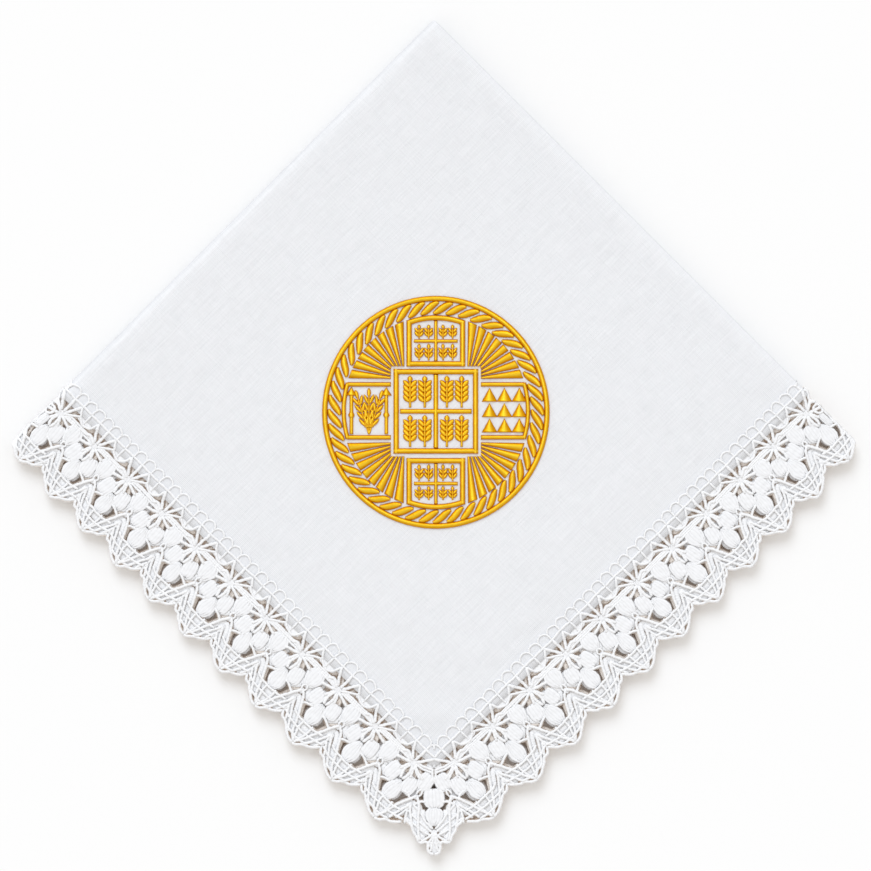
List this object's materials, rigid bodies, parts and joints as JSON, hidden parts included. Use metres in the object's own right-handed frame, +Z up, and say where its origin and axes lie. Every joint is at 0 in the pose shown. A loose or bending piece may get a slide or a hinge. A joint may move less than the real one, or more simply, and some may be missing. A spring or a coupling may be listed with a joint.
{
  "type": "prosphora towel",
  "caption": "Square white linen towel with a scalloped lace edging and a round gold embroidered emblem, folded in quarters and lying flat.",
  "frame": {"origin": "middle of the underside of the folded towel's box, on the surface it lies on", "axes": "+Z up through the layers; +Y towards the folded corner, so the lace corner points along -Y; +X to the right as the emblem reads"},
  "size_m": [0.3488, 0.3422, 0.0071],
  "materials": {
    "cloth": "fine plain-weave white linen, softly matt",
    "lace": "white crocheted cotton lace, matt",
    "gold_thread": "golden yellow satin-stitch thread with a soft sheen"
  },
  "bodies": {
    "root": {"cloth": "cloth", "lace_edging": "lace", "emblem_ring": "gold_thread", "emblem_rope": "gold_thread", "emblem_centre": "gold_thread", "emblem_top_panel": "gold_thread", "emblem_bottom_panel": "gold_thread", "emblem_left_panel": "gold_thread", "emblem_right_panel": "gold_thread", "emblem_triangles_1": "gold_thread", "emblem_triangles_2": "gold_thread", "emblem_triangles_3": "gold_thread", "emblem_rays_top_left": "gold_thread", "emblem_rays_top_right": "gold_thread", "emblem_rays_bottom_left": "gold_thread", "emblem_rays_bottom_right": "gold_thread"}
  },
  "joints": []
}
